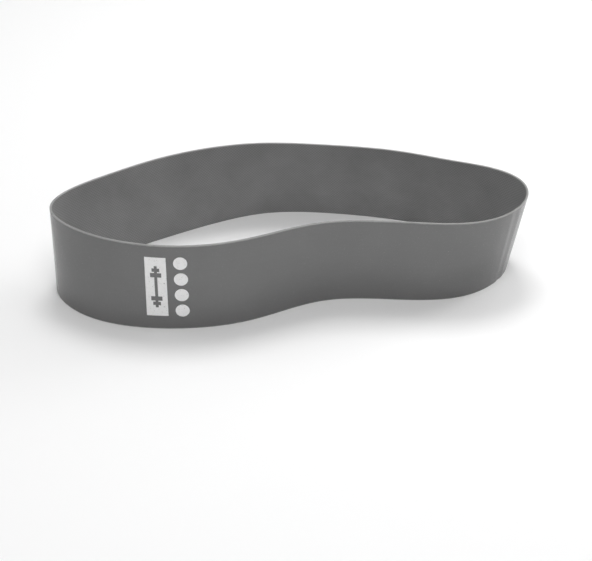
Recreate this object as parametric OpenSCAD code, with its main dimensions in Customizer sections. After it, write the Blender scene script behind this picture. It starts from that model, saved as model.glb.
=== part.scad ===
// Loop resistance band: one closed strip of rubber, standing on its cut edge
// and left open in the bean shape it relaxes into. Millimetres, +Z up.
// The origin is on the floor under the middle of the band, X runs along the
// loop's long axis and the printed run faces -Y.
//
// A place on the band is given by three lengths: how far it is round the loop
// from the left end, how far it is up the strip from the lower edge, and how
// far it stands out from the middle of the rubber.

/* [Band] */
// Length of the closed strip, once round along its middle
loop_length = 600; // [450:10:800]
// Width of the strip, which is its height as it stands on its edge
band_width = 50; // [48:1:75]
// Thickness of the rubber
band_thickness = 1.2; // [0.6:0.1:2.4]

/* [Resting shape] */
// How open the loop lies, front to back, as a share of its usual depth
openness = 1; // [0.7:0.05:1.3]
// How far the strip leans in and out of upright, as a share of its usual lean
lean_share = 1; // [0:0.1:1.3]
// Spacing of the section lines that the strip is drawn through
step = 3; // [2:0.5:4]

/* [Print] */
// Width of the printed panel, round the loop
panel_w = 11.4; // [9:0.2:16]
// Height of the printed panel, up the strip
panel_h = 35; // [28:0.5:38]
// Distance from the left end to the middle of the panel, round the loop
panel_at = 79; // [66:1:85]
// Height of the middle of the print above the lower edge
print_up = 25.6; // [23:0.1:26]
// Clear space between the panel and the pips
pip_gap = 3.8; // [2:0.1:6]
// Diameter of each level pip
pip_d = 7.4; // [5:0.1:8.6]
// Spacing of the pips up the strip
pip_pitch = 9.5; // [9:0.1:10.5]
// Number of level pips in the column
pip_count = 4; // [1:1:4]
// Height that the ink stands out from the rubber
ink_t = 0.1; // [0.05:0.01:0.3]

/* [Hidden] */

rubber = [0.44, 0.44, 0.44];
ink = [0.87, 0.87, 0.87];

// The loop's lower edge is a closed smooth curve drawn towards these points,
// anticlockwise from the left end. Each is x, y and the lean of the strip
// there in degrees, plus where the upper edge leans out of the loop.
route = [
    [-142, -13, 1], [-113, -54, -11], [-62, -62, -3], [-18, -54, -5],
    [18, -27, 0], [73, -36, -2], [108, -28, 8], [133, 10, 11],
    [96, 39, -8], [62, 52, -5], [14, 60, -7], [-22, 60, -4],
    [-67, 35, 10], [-97, 16, 6]
];
count = len(route);
function at(i) = let (p = route[(i + count) % count])
    [p[0], p[1] * openness, p[2] * lean_share];

// Uniform cubic B-spline through the route, and its slope, at u from 0 to count
function curve(u) = let (i = floor(u), f = u - i)
    (pow(1 - f, 3) * at(i - 1)
     + (3 * pow(f, 3) - 6 * f * f + 4) * at(i)
     + (-3 * pow(f, 3) + 3 * f * f + 3 * f + 1) * at(i + 1)
     + pow(f, 3) * at(i + 2)) / 6;
function slope(u) = let (i = floor(u), f = u - i)
    (-pow(1 - f, 2) * at(i - 1)
     + (3 * f * f - 4 * f) * at(i)
     + (-3 * f * f + 2 * f + 1) * at(i + 1)
     + f * f * at(i + 2)) / 2;
// Unit vector that points out of the loop, square to the curve
function out_of(u) = let (d = slope(u), l = norm([d[0], d[1]])) [d[1] / l, -d[0] / l];

// Middle line of the strip, sampled finely, and the length of it up to each sample
FINE = 24;
samples = count * FINE;
function middle(u, w) = let (c = curve(u))
    [c[0], c[1]] + out_of(u) * w / 2 * sin(c[2]);
function lengths(w, i = 0, sum = 0, last = undef) =
    let (p = middle(i / FINE, w), s = i == 0 ? 0 : sum + norm(p - last))
    i == samples ? [s] : concat([s], lengths(w, i + 1, s, p));
// The route is scaled so that the strip has its stated length. Its lean is set
// from the width before scaling, which keeps the two edges of the strip equal.
drawn = lengths(band_width);
k = loop_length / drawn[samples];
// Pairs of length round the loop and place on the curve
places = [for (i = [0 : samples]) [k * drawn[i], i / FINE]];
function place(s) = let (r = s - loop_length * floor(s / loop_length)) lookup(r, places);

// The point that is s round the loop, h up the strip and o out of its middle
function spot(s, h, o) =
    let (u = place(s), c = curve(u), n = out_of(u), a = c[2],
         q = [c[0], c[1]] * k + n * (h * sin(a) + o / cos(a)))
    [q[0], q[1], h * cos(a)];

t = band_thickness;
w = band_width;
// The middle of the box round the whole strip, which goes over the origin
edges = [for (i = [0 : 2 : samples], h = [0, w]) spot(places[i][0], h, t / 2)];
function middle_of(j) = (min([for (p = edges) p[j]]) + max([for (p = edges) p[j]])) / 2;
shift = [-middle_of(0), -middle_of(1), 0];

// A closed piece of the strip: from s0 to s1 round the loop, from h0 to h1 up
// it, and from o0 to o1 out of its middle
module slab(s0, s1, h0, h1, o0, o1, spacing = step) {
    n = max(1, ceil((s1 - s0) / spacing));
    rows = [for (i = [0 : n])
        let (s = s0 + (s1 - s0) * i / n)
        [spot(s, h0, o1), spot(s, h1, o1), spot(s, h1, o0), spot(s, h0, o0)]];
    points = [for (r = rows, p = r) p + shift];
    sides = [for (i = [0 : n - 1], j = [0 : 3])
        let (a = 4 * i + j, b = 4 * i + (j + 1) % 4)
        each [[a, b, b + 4], [a, b + 4, a + 4]]];
    ends = [[0, 3, 2], [0, 2, 1], [4 * n, 4 * n + 1, 4 * n + 2], [4 * n, 4 * n + 2, 4 * n + 3]];
    polyhedron(points = points, faces = concat(sides, ends), convexity = 6);
}

// A round disc of ink on the outer face of the strip
module disc(s, h, r, sides = 32) {
    ring = [for (i = [0 : sides - 1])
        [s + r * cos(i * 360 / sides), h + r * sin(i * 360 / sides)]];
    points = concat(
        [for (p = ring) spot(p[0], p[1], t / 2 - ink_in) + shift],
        [for (p = ring) spot(p[0], p[1], t / 2 + ink_t) + shift],
        [spot(s, h, t / 2 - ink_in) + shift, spot(s, h, t / 2 + ink_t) + shift]);
    faces = [for (i = [0 : sides - 1])
        let (j = (i + 1) % sides)
        each [[j, i, 2 * sides], [i + sides, j + sides, 2 * sides + 1],
              [i, j, j + sides], [i, j + sides, i + sides]]];
    polyhedron(points = points, faces = [for (f = faces) [f[2], f[1], f[0]]], convexity = 2);
}

// Depth that the ink is keyed into the rubber
ink_in = 0.05;
// Shares of the loop, from the left end, where one stretch meets the next
LEFT_TOP = 0.93;
LEFT_LOW = 0.07;
FRONT_MID = 0.254;
RIGHT_LOW = 0.43;
RIGHT_TOP = 0.55;
BACK_MID = 0.742;

module stretch(from, to) {
    color(rubber)
        slab(from * loop_length, to * loop_length, 0, w, -t / 2, t / 2);
}

module left_bend() { stretch(LEFT_TOP - 1, LEFT_LOW); }
module front_run_left() { stretch(LEFT_LOW, FRONT_MID); }
module front_run_right() { stretch(FRONT_MID, RIGHT_LOW); }
module right_bend() { stretch(RIGHT_LOW, RIGHT_TOP); }
module back_run_right() { stretch(RIGHT_TOP, BACK_MID); }
module back_run_left() { stretch(BACK_MID, LEFT_TOP); }

// A rectangle of ink, pw round the loop and ph up the strip, up above the
// middle of the panel, standing from o0 to o1
module ink_block(pw, ph, up = 0, o0 = t / 2 - ink_in, o1 = t / 2 + ink_t) {
    slab(panel_at - pw / 2, panel_at + pw / 2,
         print_up + up - ph / 2, print_up + up + ph / 2, o0, o1, 1);
}

// White panel with the outline of a dumbbell left open in it
module print_panel() {
    color(ink) difference() {
        ink_block(panel_w, panel_h);
        // Grip of the dumbbell
        ink_block(0.14 * panel_w, 0.71 * panel_h, 0, t / 2 - 1, t / 2 + 1);
        for (side = [-1, 1]) {
            // Large plate, then the small one outside it
            ink_block(0.52 * panel_w, 0.075 * panel_h, side * 0.2 * panel_h, t / 2 - 1, t / 2 + 1);
            ink_block(0.36 * panel_w, 0.06 * panel_h, side * 0.285 * panel_h, t / 2 - 1, t / 2 + 1);
        }
    }
}

// Column of round pips that gives the strength level
module print_pips() {
    color(ink)
        for (i = [0 : pip_count - 1])
            disc(panel_at + panel_w / 2 + pip_gap + pip_d / 2,
                 print_up + (i - (pip_count - 1) / 2) * pip_pitch, pip_d / 2);
}

left_bend();
front_run_left();
back_run_left();
front_run_right();
right_bend();
back_run_right();
print_panel();
print_pips();
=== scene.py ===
import math
import bpy
import numpy as np
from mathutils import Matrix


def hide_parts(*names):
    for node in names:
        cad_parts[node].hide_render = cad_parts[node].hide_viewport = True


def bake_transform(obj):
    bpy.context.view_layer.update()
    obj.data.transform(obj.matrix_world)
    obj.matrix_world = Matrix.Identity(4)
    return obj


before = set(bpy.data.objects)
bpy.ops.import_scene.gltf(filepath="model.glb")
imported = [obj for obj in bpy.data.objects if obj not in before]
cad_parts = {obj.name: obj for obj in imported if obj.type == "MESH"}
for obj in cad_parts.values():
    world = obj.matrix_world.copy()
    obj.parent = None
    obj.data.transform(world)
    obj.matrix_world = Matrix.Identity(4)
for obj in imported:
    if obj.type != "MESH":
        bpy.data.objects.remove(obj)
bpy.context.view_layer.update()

# --------------------------------------------------------------------------
# The band's shape: the same closed spline, lean and length as part.scad, in mm
# --------------------------------------------------------------------------
LOOP, WIDTH, THICK = 600.0, 50.0, 1.2
ROUTE = np.array([
    [-142, -13, 1], [-113, -54, -11], [-62, -62, -3], [-18, -54, -5],
    [18, -27, 0], [73, -36, -2], [108, -28, 8], [133, 10, 11],
    [96, 39, -8], [62, 52, -5], [14, 60, -7], [-22, 60, -4],
    [-67, 35, 10], [-97, 16, 6]], float)
COUNT, FINE = len(ROUTE), 24


def curve(u):
    u = np.asarray(u, float)
    i = np.floor(u).astype(int)
    f = (u - i)[..., None]
    a, b, c, d = (ROUTE[(i + n) % COUNT] for n in (-1, 0, 1, 2))
    p = ((1 - f) ** 3 * a + (3 * f ** 3 - 6 * f * f + 4) * b
         + (-3 * f ** 3 + 3 * f * f + 3 * f + 1) * c + f ** 3 * d) / 6
    v = (-(1 - f) ** 2 * a + (3 * f * f - 4 * f) * b + (-3 * f * f + 2 * f + 1) * c + f * f * d) / 2
    n = np.stack([v[..., 1], -v[..., 0]], -1)
    n /= np.linalg.norm(n, axis=-1, keepdims=True)
    return p[..., :2], n, np.radians(p[..., 2])


_u = np.arange(COUNT * FINE + 1) / FINE
_c, _n, _a = curve(_u)
_m = _c + _n * (WIDTH / 2 * np.sin(_a))[:, None]
_len = np.concatenate([[0], np.cumsum(np.linalg.norm(np.diff(_m, axis=0), axis=1))])
SCALE = LOOP / _len[-1]
_len = _len * SCALE


def spot(s, h, o):
    """The point s round the loop, h up the strip and o out of its middle, all in mm, before the shift to the origin."""
    s, h, o = np.broadcast_arrays(np.asarray(s, float), np.asarray(h, float), np.asarray(o, float))
    c, n, a = curve(np.interp(s % LOOP, _len, _u))
    q = c * SCALE + n * (h * np.sin(a) + o / np.cos(a))[..., None]
    return np.concatenate([q, (h * np.cos(a))[..., None]], -1)


_e = np.concatenate([spot(_len[::2], 0, THICK / 2), spot(_len[::2], WIDTH, THICK / 2)])
SHIFT = np.array([-(_e[:, 0].min() + _e[:, 0].max()) / 2, -(_e[:, 1].min() + _e[:, 1].max()) / 2, 0])


def place(s, h, o):
    """spot() in metres, in the CAD's own frame."""
    return (spot(s, h, o) + SHIFT) / 1000


# --------------------------------------------------------------------------
# Small helpers
# --------------------------------------------------------------------------
def keep_attributes(mesh, strip=None):
    """Remember each point's place at rest, and its place on the flat strip, for the materials to follow."""
    co = np.empty(len(mesh.vertices) * 3, np.float32)
    mesh.vertices.foreach_get("co", co)
    mesh.attributes.new("rest_place", "FLOAT_VECTOR", "POINT").data.foreach_set("vector", co)
    if strip is not None:
        mesh.attributes.new("strip", "FLOAT_VECTOR", "CORNER").data.foreach_set(
            "vector", np.asarray(strip, np.float32).ravel())


def new_mesh(name, points, faces, slots=None, smooth=True):
    mesh = bpy.data.meshes.new(name)
    mesh.from_pydata([tuple(p) for p in points], [], [tuple(int(i) for i in f) for f in faces])
    if slots is not None:
        mesh.polygons.foreach_set("material_index", np.asarray(slots, np.int32))
    mesh.polygons.foreach_set("use_smooth", np.full(len(mesh.polygons), smooth))
    mesh.update()
    obj = bpy.data.objects.new(name, mesh)
    bpy.context.scene.collection.objects.link(obj)
    return obj


# --------------------------------------------------------------------------
# Materials
# --------------------------------------------------------------------------
def material(name):
    m = bpy.data.materials.new(name)
    m.use_nodes = True
    nt = m.node_tree
    bsdf = nt.nodes["Principled BSDF"]
    return m, nt, bsdf


def node(nt, kind, **values):
    n = nt.nodes.new(kind)
    for k, v in values.items():
        if k in n.inputs:
            n.inputs[k].default_value = v
        else:
            setattr(n, k, v)
    return n


def ramp(nt, stops):
    n = nt.nodes.new("ShaderNodeValToRGB")
    while len(n.color_ramp.elements) < len(stops):
        n.color_ramp.elements.new(0.5)
    for e, (p, c) in zip(n.color_ramp.elements, stops):
        e.position = p
        e.color = (*c, 1) if hasattr(c, "__len__") else (c, c, c, 1)
    return n


def math_node(nt, op, *inputs):
    n = nt.nodes.new("ShaderNodeMath")
    n.operation = op
    for i, v in enumerate(inputs):
        if isinstance(v, (int, float)):
            n.inputs[i].default_value = v
        else:
            nt.links.new(v, n.inputs[i])
    return n.outputs[0]


def noise(nt, vector, scale, detail=4.0, rough=0.55):
    n = node(nt, "ShaderNodeTexNoise", Scale=scale, Detail=detail, Roughness=rough)
    nt.links.new(vector, n.inputs["Vector"])
    return n.outputs["Fac"]


def tint(nt, base, fac, dark, light):
    """base x a grey that runs from dark to light as fac goes from 0 to 1."""
    r = ramp(nt, [(0.0, dark), (1.0, light)])
    nt.links.new(fac, r.inputs["Fac"])
    m = nt.nodes.new("ShaderNodeMix")
    m.data_type = "RGBA"
    m.blend_type = "MULTIPLY"
    m.inputs["Factor"].default_value = 1.0
    nt.links.new(base, m.inputs[6])
    nt.links.new(r.outputs["Color"], m.inputs[7])
    return m.outputs[2]


def rubber_face(name, low, high, rough, spec=0.5, grain_bump=0.00006, emboss=False, speckle=0.0, painted_edge_highlight=0.0,
                grain_tone=0.03, gloss_spread=0.055):
    """Satin moulded rubber: faint cloudy tone, fine grain, thin wiped streaks along the strip, a few dust specks."""
    m, nt, b = material(name)
    rest = node(nt, "ShaderNodeAttribute", attribute_name="rest_place").outputs["Vector"]
    strip = node(nt, "ShaderNodeAttribute", attribute_name="strip").outputs["Vector"]
    cloud = noise(nt, rest, 38.0)
    grain = noise(nt, rest, 2600.0, 3.0, 0.6)
    tone = ramp(nt, [(0.3, low), (0.7, high)])
    nt.links.new(cloud, tone.inputs["Fac"])
    colour = tone.outputs["Color"]
    # faint streaks that run round the loop, from the strip being wiped and pulled
    stretch_map = node(nt, "ShaderNodeMapping", Scale=(30.0, 1400.0, 900.0))
    nt.links.new(strip, stretch_map.inputs["Vector"])
    streak = node(nt, "ShaderNodeTexNoise", Scale=1.0, Detail=2.0, Roughness=0.5)
    nt.links.new(stretch_map.outputs["Vector"], streak.inputs["Vector"])
    colour = tint(nt, colour, streak.outputs["Fac"], 0.97, 1.03)
    colour = tint(nt, colour, grain, 1 - grain_tone, 1 + grain_tone)
    if painted_edge_highlight:
        # the face is painted lighter in the last half millimetre before each cut edge, a painted highlight along the
        # rounded edges
        part = nt.nodes.new("ShaderNodeSeparateXYZ")
        nt.links.new(strip, part.inputs[0])
        near = math_node(nt, "SUBTRACT", WIDTH / 2000,
                         math_node(nt, "ABSOLUTE", math_node(nt, "SUBTRACT", part.outputs[1], WIDTH / 2000)))
        near = math_node(nt, "ADD", math_node(nt, "MULTIPLY", near, 1000.0),
                         math_node(nt, "MULTIPLY", noise(nt, rest, 700.0, 3.0), 0.5))
        edge_highlight_mask = ramp(nt, [(0.66, 1.0), (1.0, 0.0)])
        nt.links.new(near, edge_highlight_mask.inputs["Fac"])
        mix = nt.nodes.new("ShaderNodeMix")
        mix.data_type = "RGBA"
        nt.links.new(math_node(nt, "MULTIPLY", edge_highlight_mask.outputs["Color"], painted_edge_highlight), mix.inputs["Factor"])
        nt.links.new(colour, mix.inputs[6])
        # colour of the painted edge highlight
        mix.inputs[7].default_value = (0.285, 0.285, 0.282, 1)
        colour = mix.outputs[2]
    if speckle:
        vor = node(nt, "ShaderNodeTexVoronoi", Scale=260.0, Randomness=1.0)
        nt.links.new(rest, vor.inputs["Vector"])
        dot = ramp(nt, [(0.03, 1.0), (0.07, 0.0)])
        nt.links.new(vor.outputs["Distance"], dot.inputs["Fac"])
        some = ramp(nt, [(0.58, 0.0), (0.66, 1.0)])
        nt.links.new(noise(nt, rest, 90.0, 2.0), some.inputs["Fac"])
        amount = math_node(nt, "MULTIPLY", dot.outputs["Color"], some.outputs["Color"])
        mix = nt.nodes.new("ShaderNodeMix")
        mix.data_type = "RGBA"
        nt.links.new(math_node(nt, "MULTIPLY", amount, speckle), mix.inputs["Factor"])
        nt.links.new(colour, mix.inputs[6])
        mix.inputs[7].default_value = (0.42, 0.42, 0.41, 1)
        colour = mix.outputs[2]
    height = grain
    if emboss:
        # fine diamond grid pressed into the inner face, with painted shade in its hollows and painted highlight on its
        # ridges
        xyz = nt.nodes.new("ShaderNodeSeparateXYZ")
        nt.links.new(strip, xyz.inputs[0])
        step = 2 * math.pi * 340 / (LOOP / 1000)          # 340 round the loop, so rows are 1.25 mm apart
        s = math_node(nt, "MULTIPLY", xyz.outputs[0], step)
        h = math_node(nt, "MULTIPLY", xyz.outputs[1], step)
        w1 = math_node(nt, "SINE", s)
        w2 = math_node(nt, "SINE", h)
        grid = math_node(nt, "MULTIPLY_ADD", math_node(nt, "MULTIPLY", w1, w2), 0.5, 0.5)
        # painted shade and highlight: the grid's hollows are darkened and its ridges lightened
        colour = tint(nt, colour, grid, 0.82, 1.18)
        height = math_node(nt, "MULTIPLY_ADD", grid, 0.8, math_node(nt, "MULTIPLY", grain, 0.5))
    nt.links.new(colour, b.inputs["Base Color"])
    r = ramp(nt, [(0.25, rough - gloss_spread), (0.75, rough + gloss_spread)])
    nt.links.new(grain, r.inputs["Fac"])
    nt.links.new(r.outputs["Color"], b.inputs["Roughness"])
    bump = node(nt, "ShaderNodeBump", Strength=0.35 if emboss else 0.2, Distance=grain_bump)
    nt.links.new(height, bump.inputs["Height"])
    nt.links.new(bump.outputs["Normal"], b.inputs["Normal"])
    b.inputs["Specular IOR Level"].default_value = spec
    return m


# the outer and inner faces get a painted highlight along their cut edges, strongest on the outer face
outer_mat = rubber_face("rubber_outer", 0.130, 0.141, 0.26, 0.85, grain_bump=0.00001, grain_tone=0.008, gloss_spread=0.02, speckle=0.5, painted_edge_highlight=0.9)
inner_mat = rubber_face("rubber_inner", 0.205, 0.252, 0.60, 0.4, grain_bump=0.00018, emboss=True, painted_edge_highlight=0.4)
edge_mat = rubber_face("rubber_cut_edge", (0.255, 0.255, 0.252), (0.295, 0.295, 0.29), 0.40, 0.7,
                       gloss_spread=0.04)

ink_mat, nt, b = material("white_ink")
rest = node(nt, "ShaderNodeAttribute", attribute_name="rest_place").outputs["Vector"]
blot = noise(nt, rest, 420.0, 5.0, 0.65)
tone = ramp(nt, [(0.3, 0.90), (0.7, 0.96)])
nt.links.new(blot, tone.inputs["Fac"])
# pin holes where the rubber shows through the ink
holes = ramp(nt, [(0.30, 0.45), (0.37, 1.0)])
nt.links.new(noise(nt, rest, 1500.0, 3.0, 0.6), holes.inputs["Fac"])
mix = nt.nodes.new("ShaderNodeMix")
mix.data_type = "RGBA"
mix.blend_type = "MULTIPLY"
mix.inputs["Factor"].default_value = 1.0
nt.links.new(tone.outputs["Color"], mix.inputs[6])
nt.links.new(holes.outputs["Color"], mix.inputs[7])
nt.links.new(mix.outputs[2], b.inputs["Base Color"])
bump = node(nt, "ShaderNodeBump", Strength=0.15, Distance=0.00005)
nt.links.new(blot, bump.inputs["Height"])
nt.links.new(bump.outputs["Normal"], b.inputs["Normal"])
b.inputs["Roughness"].default_value = 0.55

# --------------------------------------------------------------------------
# The band
# --------------------------------------------------------------------------
NS = 480                                  # sections round the loop
CORNER = 0.30                             # radius of the cut edges' corners, mm
rise = np.linspace(CORNER, WIDTH - CORNER, 41)
arc = np.radians(np.linspace(0, 90, 4))[1:-1]
half = THICK / 2
profile = []                              # (h, o, slot of the face to the next point)
profile += [(h, half, 0) for h in rise]                                                     # outer face, going up
profile += [(WIDTH - CORNER + CORNER * math.sin(a), half - CORNER + CORNER * math.cos(a), 2) for a in arc]
profile += [(WIDTH, o, 2) for o in np.linspace(half - CORNER, -half + CORNER, 3)]            # upper cut edge
profile += [(WIDTH - CORNER + CORNER * math.cos(a), -half + CORNER - CORNER * math.sin(a), 2) for a in arc]
profile += [(h, -half, 1) for h in rise[::-1]]                                              # inner face, going down
profile += [(CORNER - CORNER * math.sin(a), -half + CORNER - CORNER * math.cos(a), 2) for a in arc]
profile += [(0.0, o, 2) for o in np.linspace(-half + CORNER, half - CORNER, 3)]              # lower cut edge
profile += [(CORNER - CORNER * math.cos(a), half - CORNER + CORNER * math.sin(a), 2) for a in arc]
ph = np.array([p[0] for p in profile])
po = np.array([p[1] for p in profile])
NP = len(profile)
# a face's slot: outer between outer points, inner between inner points, cut edge elsewhere
kind = [0 if (j < 40) else 2 for j in range(NP)]
first_inner = 41 + 2 + 3 + 2
for j in range(first_inner, first_inner + 40):
    kind[j] = 1



def ripple(s):
    """Two soft set creases in the rubber, in mm out of the strip's middle."""
    wave = lambda at, depth, pitch, width: (-depth * np.cos(2 * math.pi * (s - at) / pitch)
                                            * np.exp(-((s - at) / width) ** 2))
    return wave(278.0, 0.16, 8.0, 4.5) + wave(3.0, 0.03, 8.0, 5.0)


S = np.arange(NS) * (LOOP / NS)
S = np.unique(np.concatenate([S, np.arange(266, 290, 0.5)]).round(4))
S = S[:, None]
NS = len(S)
H, O = np.broadcast_to(ph, (NS, NP)), np.broadcast_to(po, (NS, NP))
pts = place(S, H, O + ripple(S))
faces, slots, strip = [], [], []
for i in range(NS):
    s0, s1 = S[i, 0], (S[i + 1, 0] if i + 1 < NS else LOOP)
    for j in range(NP):
        a, b2 = i * NP + j, i * NP + (j + 1) % NP
        p0, p1 = profile[j], profile[(j + 1) % NP]
        strip += [(s0, p0[0], p0[1]), (s1, p0[0], p0[1]), (s1, p1[0], p1[1]), (s0, p1[0], p1[1])]
        c, d = ((i + 1) % NS) * NP + (j + 1) % NP, ((i + 1) % NS) * NP + j
        faces.append((a, d, c, b2))
        slots.append(kind[j])
band = new_mesh("band", pts.reshape(-1, 3), faces, slots)
for m in (outer_mat, inner_mat, edge_mat):
    band.data.materials.append(m)
keep_attributes(band.data, np.array(strip) / 1000)

# --------------------------------------------------------------------------
# Print: thin raised ink on the outer face
# --------------------------------------------------------------------------
PANEL_W, PANEL_H, PANEL_AT, PRINT_UP = 11.4, 35.0, 79.0, 25.6
PIP_D, PIP_PITCH, PIP_GAP = 7.4, 9.5, 3.8
INK_LOW, INK_TOP = half - 0.03, half + 0.08


def ink_cells(name, s_lines, h_lines, keep):
    """A thin solid of ink made of grid cells between s_lines and h_lines, where keep(s, h) is true."""
    ns, nh = len(s_lines), len(h_lines)
    grid = [[keep((s_lines[i] + s_lines[i + 1]) / 2, (h_lines[j] + h_lines[j + 1]) / 2)
             for j in range(nh - 1)] for i in range(ns - 1)]
    used, points, out = {}, [], []

    def v(i, j, top):
        key = (i, j, top)
        if key not in used:
            used[key] = len(points)
            points.append(place(s_lines[i], h_lines[j], INK_TOP if top else INK_LOW))
        return used[key]

    has = lambda i, j: 0 <= i < ns - 1 and 0 <= j < nh - 1 and grid[i][j]
    for i in range(ns - 1):
        for j in range(nh - 1):
            if not grid[i][j]:
                continue
            out.append((v(i, j, 1), v(i + 1, j, 1), v(i + 1, j + 1, 1), v(i, j + 1, 1)))
            out.append((v(i, j, 0), v(i, j + 1, 0), v(i + 1, j + 1, 0), v(i + 1, j, 0)))
            if not has(i, j - 1):
                out.append((v(i, j, 0), v(i + 1, j, 0), v(i + 1, j, 1), v(i, j, 1)))
            if not has(i, j + 1):
                out.append((v(i + 1, j + 1, 0), v(i, j + 1, 0), v(i, j + 1, 1), v(i + 1, j + 1, 1)))
            if not has(i - 1, j):
                out.append((v(i, j + 1, 0), v(i, j, 0), v(i, j, 1), v(i, j + 1, 1)))
            if not has(i + 1, j):
                out.append((v(i + 1, j, 0), v(i + 1, j + 1, 0), v(i + 1, j + 1, 1), v(i + 1, j, 1)))
    return new_mesh(name, points, out, smooth=False)


def in_dumbbell(s, h):
    x, y = abs(s - PANEL_AT), abs(h - PRINT_UP)
    return ((x < 0.07 * PANEL_W and y < 0.355 * PANEL_H)
            or (x < 0.26 * PANEL_W and abs(y - 0.2 * PANEL_H) < 0.0375 * PANEL_H)
            or (x < 0.18 * PANEL_W and abs(y - 0.285 * PANEL_H) < 0.03 * PANEL_H))


def lines(low, high, marks, spacing):
    fixed = sorted({round(v, 6) for v in [low, high, *marks]})
    out = []
    for a, b2 in zip(fixed, fixed[1:]):
        n = max(1, math.ceil((b2 - a) / spacing))
        out += [a + (b2 - a) * i / n for i in range(n)]
    return out + [high]


s_marks = [PANEL_AT + sgn * f * PANEL_W for sgn in (-1, 1) for f in (0.07, 0.26, 0.18)]
h_marks = [PRINT_UP + sgn * f * PANEL_H for sgn in (-1, 1)
           for f in (0.355, 0.2 - 0.0375, 0.2 + 0.0375, 0.285 - 0.03, 0.285 + 0.03)]
panel = ink_cells("ink_panel",
                  lines(PANEL_AT - PANEL_W / 2, PANEL_AT + PANEL_W / 2, s_marks, 0.8),
                  lines(PRINT_UP - PANEL_H / 2, PRINT_UP + PANEL_H / 2, h_marks, 1.5),
                  lambda s, h: not in_dumbbell(s, h))
panel.data.materials.append(ink_mat)
keep_attributes(panel.data)

pip_at = PANEL_AT + PANEL_W / 2 + PIP_GAP + PIP_D / 2
points, out = [], []
for row in range(4):
    hc = PRINT_UP + (row - 1.5) * PIP_PITCH
    base = len(points)
    SIDES, RINGS = 48, 3
    radii = [PIP_D / 2 * f for f in (1 / 3, 2 / 3, 1)]
    points.append(place(pip_at, hc, INK_TOP))
    for r in radii:
        for i in range(SIDES):
            t = 2 * math.pi * i / SIDES
            points.append(place(pip_at + r * math.cos(t), hc + r * math.sin(t), INK_TOP))
    for i in range(SIDES):
        t = 2 * math.pi * i / SIDES
        points.append(place(pip_at + PIP_D / 2 * math.cos(t), hc + PIP_D / 2 * math.sin(t), INK_LOW))
    points.append(place(pip_at, hc, INK_LOW))
    low = base + 1 + SIDES * 4
    for i in range(SIDES):
        j = (i + 1) % SIDES
        out.append((base, base + 1 + i, base + 1 + j))
        for q in range(3):
            a = base + 1 + SIDES * q
            out.append((a + i, a + SIDES + i, a + SIDES + j, a + j))
        out.append((base + 1 + SIDES * 3 + j, base + 1 + SIDES * 3 + i, low))
pips = new_mesh("ink_pips", points, out, smooth=False)
pips.data.materials.append(ink_mat)
keep_attributes(pips.data)

# --------------------------------------------------------------------------
# Bake the new pieces in place and hide the CAD parts they stand in for
# --------------------------------------------------------------------------
for piece in (band, panel, pips):
    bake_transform(piece)
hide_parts("left_bend", "front_run_left", "back_run_left", "front_run_right", "right_bend", "back_run_right")
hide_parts("print_panel")
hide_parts("print_pips")

# --------------------------------------------------------------------------
# Floor, lights, camera
# --------------------------------------------------------------------------
floor = new_mesh("floor", [(-4, -4, 0), (4, -4, 0), (4, 4, 0), (-4, 4, 0)], [(0, 1, 2, 3)], smooth=False)
fm, nt, b = material("studio_floor")
b.inputs["Base Color"].default_value = (0.92, 0.92, 0.92, 1)
b.inputs["Roughness"].default_value = 0.8
b.inputs["Specular IOR Level"].default_value = 0.1
# painted light: the floor glows, lifting it to white in the distance like a lit studio sweep, well outside the camera's
# own view
place_xyz = nt.nodes.new("ShaderNodeNewGeometry").outputs["Position"]
length = nt.nodes.new("ShaderNodeVectorMath")
length.operation = "LENGTH"
nt.links.new(place_xyz, length.inputs[0])
far_glow = ramp(nt, [(0.14, 0.0), (0.36, 0.72), (0.6, 0.95)])
nt.links.new(math_node(nt, "DIVIDE", length.outputs["Value"], 4.0), far_glow.inputs["Fac"])
nt.links.new(far_glow.outputs["Color"], b.inputs["Emission Color"])
b.inputs["Emission Strength"].default_value = 1.0
floor.data.materials.append(fm)

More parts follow.
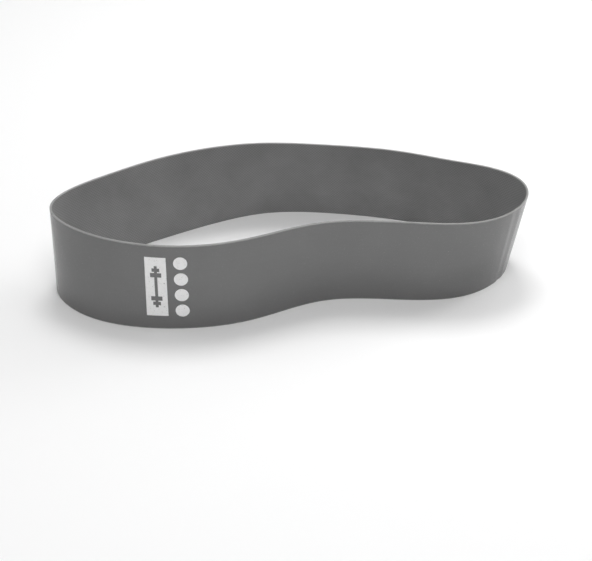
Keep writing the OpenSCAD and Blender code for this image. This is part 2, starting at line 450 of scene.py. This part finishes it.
world = bpy.data.worlds.new("studio")
bpy.context.scene.world = world
world.use_nodes = True
bg = world.node_tree.nodes["Background"]
wt = world.node_tree
toward = wt.nodes.new("ShaderNodeSeparateXYZ")
wt.links.new(wt.nodes.new("ShaderNodeTexCoord").outputs["Generated"], toward.inputs[0])
sky = ramp(wt, [(0.02, 0.9), (0.10, 0.13)])
wt.links.new(toward.outputs["Z"], sky.inputs["Fac"])
wt.links.new(sky.outputs["Color"], bg.inputs["Color"])
bg.inputs["Strength"].default_value = 1.0


def area(name, place_, aim, size, power, tint=(1, 1, 1)):
    from mathutils import Vector
    light = bpy.data.lights.new(name, "AREA")
    light.shape = "RECTANGLE"
    light.size, light.size_y = size
    light.energy = power
    light.color = tint
    o = bpy.data.objects.new(name, light)
    o.location = place_
    o.rotation_euler = (Vector(aim) - Vector(place_)).to_track_quat("-Z", "Y").to_euler()
    bpy.context.scene.collection.objects.link(o)
    return o


area("softbox_key", (0.0, 0.488, 1.096), (0, 0, 0), (0.4, 0.4), 4.8)
area("softbox_top_back", (0.0, 0.45, 1.1), (0, 0, 0), (1.2, 0.7), 3.7)
area("softbox_top_front", (0.0, -0.53, 1.1), (0, 0, 0), (0.8, 0.5), 6.0)
area("softbox_back_right", (0.72, 0.62, 0.80), (0, 0, 0), (0.5, 0.5), 1.6)
area("card_right_low", (0.988, 0.571, 0.371), (0, 0, 0), (0.4, 0.4), 4.8)
area("card_right_front", (0.98, -0.42, 0.5), (0, 0, 0), (0.5, 0.4), 0.6)

FOCAL_PX, PITCH = 1300.0, 34.564
EYE = (2.733, -617.16, 415.07)
cam = bpy.data.cameras.new("camera")
cam.sensor_fit = "HORIZONTAL"
cam.sensor_width = 36.0
cam.lens = 36.0 * FOCAL_PX / 592
cam.clip_start, cam.clip_end = 0.01, 50
camera = bpy.data.objects.new("camera", cam)
camera.location = tuple(v / 1000 for v in EYE)
camera.rotation_euler = (math.radians(90 - PITCH), 0, 0)
bpy.context.scene.collection.objects.link(camera)
bpy.context.scene.camera = camera
bpy.context.scene.view_settings.view_transform = "Standard"
